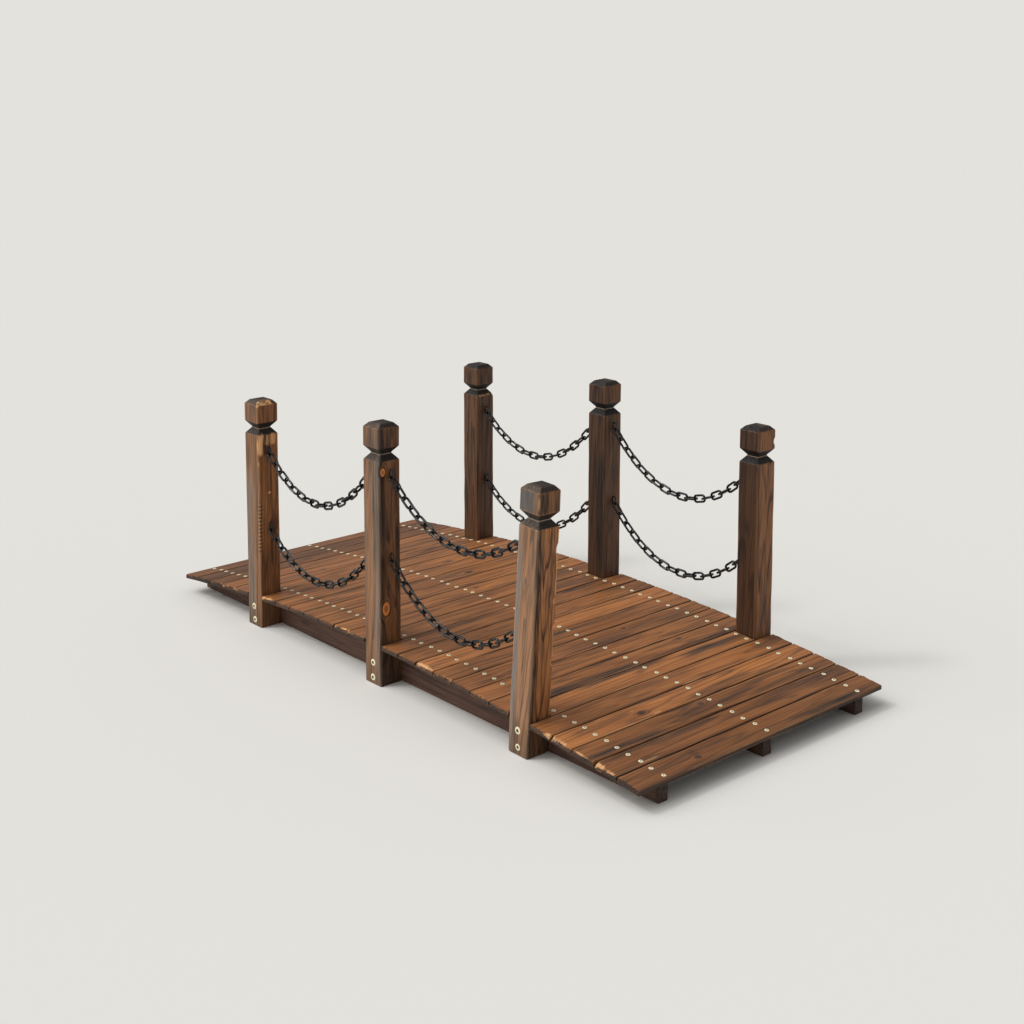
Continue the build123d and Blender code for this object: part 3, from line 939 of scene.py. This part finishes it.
screw_profile = [(3.2, -1.6), (4.45, -0.25), (4.4, 0.1), (3.8, 0.4), (2.9, 0.52)]
screw_tilt = 0.05          # in radians
screw_lifts = (-0.3, 0.1)  # how far a screw's head stands up, at least and at most
screw_head = disc_head(screw_profile, cross_outline, 24, 0.9)
for row, seats in screw_seats.items():
    matrices = []
    for index, y, across in seats:
        angle, seat_x, seat_z = seat(index)
        turn = Matrix.Rotation(angle, 4, "Y")
        turns = screw_rng.uniform((-screw_tilt, -screw_tilt, 0), (screw_tilt, screw_tilt, pi))
        tilt = Euler(turns).to_matrix().to_4x4()
        local = Matrix.Translation((across, y, plank_thickness + screw_rng.uniform(*screw_lifts)))
        matrices.append(Matrix.Translation((seat_x, 0, seat_z)) @ turn @ local @ tilt)
    scatter(f"deck_screws_{row}", screw_head, matrices)

bolt_profile = [(6.9, -1.4), (7.1, 0.3), (6.8, 0.9), (5.9, 1.25), (4.4, 1.4)]
bolt_head = disc_head(bolt_profile, hex_outline, 36, 1.8)
bolt_heights = (15.0, 45.0)  # above the ground
bolt_sink = 0.2              # of a bolt's head into its post
leaning_sinks = (1.15, 0.5)  # of the leaning post's two bolts, so that they stay in line
bolt_strays = (2.0, 1.5)     # the furthest that a bolt strays across and up a post
for row, side in sides.items():
    matrices = []
    for number in range(3):
        pivot, turn, to_axis = post_place(number, row)
        for height, deeper in zip(bolt_heights, leaning_sinks):
            sink = deeper if (row, number) == leaning_post else bolt_sink
            aside, above = (screw_rng.uniform(-stray, stray) for stray in bolt_strays)
            spot = Vector((aside, side * (post_size / 2 - sink), height + above))
            outward = Matrix.Rotation(side * -pi / 2, 4, "X")
            spin = Matrix.Rotation(screw_rng.uniform(0, pi), 4, "Z")
            matrices.append(Matrix.Translation(pivot) @ turn.to_4x4() @ Matrix.Translation(to_axis + spot)
                            @ outward @ spin)
    scatter(f"post_bolts_{row}", bolt_head, matrices)


# Chains keep their modelled shape and get their enamel.
for name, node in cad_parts.items():
    if name.startswith("chain_"):
        node.data.materials.clear()
        node.data.materials.append(chain_enamel)


# Floor, light and camera

floor_colour = linear("#E4E2DD")
floor_half = 30.0  # in metres
floor_mesh = bpy.data.meshes.new("floor")
floor_corners = [(x * floor_half, y * floor_half, 0) for x, y in ((-1, -1), (1, -1), (1, 1), (-1, 1))]
floor_mesh.from_pydata(floor_corners, [], [(0, 1, 2, 3)])
floor_paint = bpy.data.materials.new("floor_paint")
floor_tree = empty_tree(floor_paint)
floor_surface = add_node(floor_tree, "BsdfDiffuse", {"Color": floor_colour})
add_node(floor_tree, "OutputMaterial", {0: floor_surface[0]})
floor_mesh.materials.append(floor_paint)
floor = put("floor", floor_mesh)

# The world's fill and the two suns together light a level surface at about 1.
world = bpy.data.worlds.new("studio")
scene.world = world
sky = empty_tree(world)
rays = add_node(sky, "LightPath", {})
fill = add_node(sky, "Background", {"Color": linear("#FFFFFF"), "Strength": 0.42})
backdrop = add_node(sky, "Background", {"Color": floor_colour, "Strength": 1.0})
chosen = add_node(sky, "MixShader", {0: rays["Is Camera Ray"], 1: fill[0], 2: backdrop[0]})
add_node(sky, "OutputWorld", {0: chosen[0]})

to_light = Vector((-0.42, -0.56, 0.9))
for name, energy, spread in (("broad_sun", 1.8, 60), ("small_sun", 0.5, 9)):
    sun = bpy.data.lights.new(name, "SUN")
    sun.energy = energy
    sun.angle = radians(spread)
    put(name, sun).rotation_euler = to_light.to_track_quat("Z", "Y").to_euler()

camera_place = Vector((2448.5, -2113.3, 1236.6)) * MM
azimuth, elevation, roll = (radians(turn) for turn in (48.203, 7.565, 0.105))
# The picture's width, the focal length and the place of the lens's axis, in pixels
picture_size = 1024
focal_length = 1556.3
lens_axis = (526.9, 273.2)
camera = bpy.data.cameras.new("camera")
camera.sensor_width = 36.0
camera.lens = focal_length / picture_size * camera.sensor_width
camera.shift_x = (picture_size / 2 - lens_axis[0]) / picture_size
camera.shift_y = (lens_axis[1] - picture_size / 2) / picture_size
camera.clip_end = 200.0
forward = Vector((-sin(azimuth) * cos(elevation), cos(azimuth) * cos(elevation), -sin(elevation)))
level = Vector((cos(azimuth), sin(azimuth), 0.0))
right = level * cos(roll) + level.cross(forward) * sin(roll)
up = right.cross(forward)
camera_object = put("camera", camera)
camera_turn = Matrix((right, up, -forward)).transposed().to_4x4()
camera_object.matrix_world = Matrix.Translation(camera_place) @ camera_turn
scene.camera = camera_object
scene.view_settings.view_transform = "Standard"
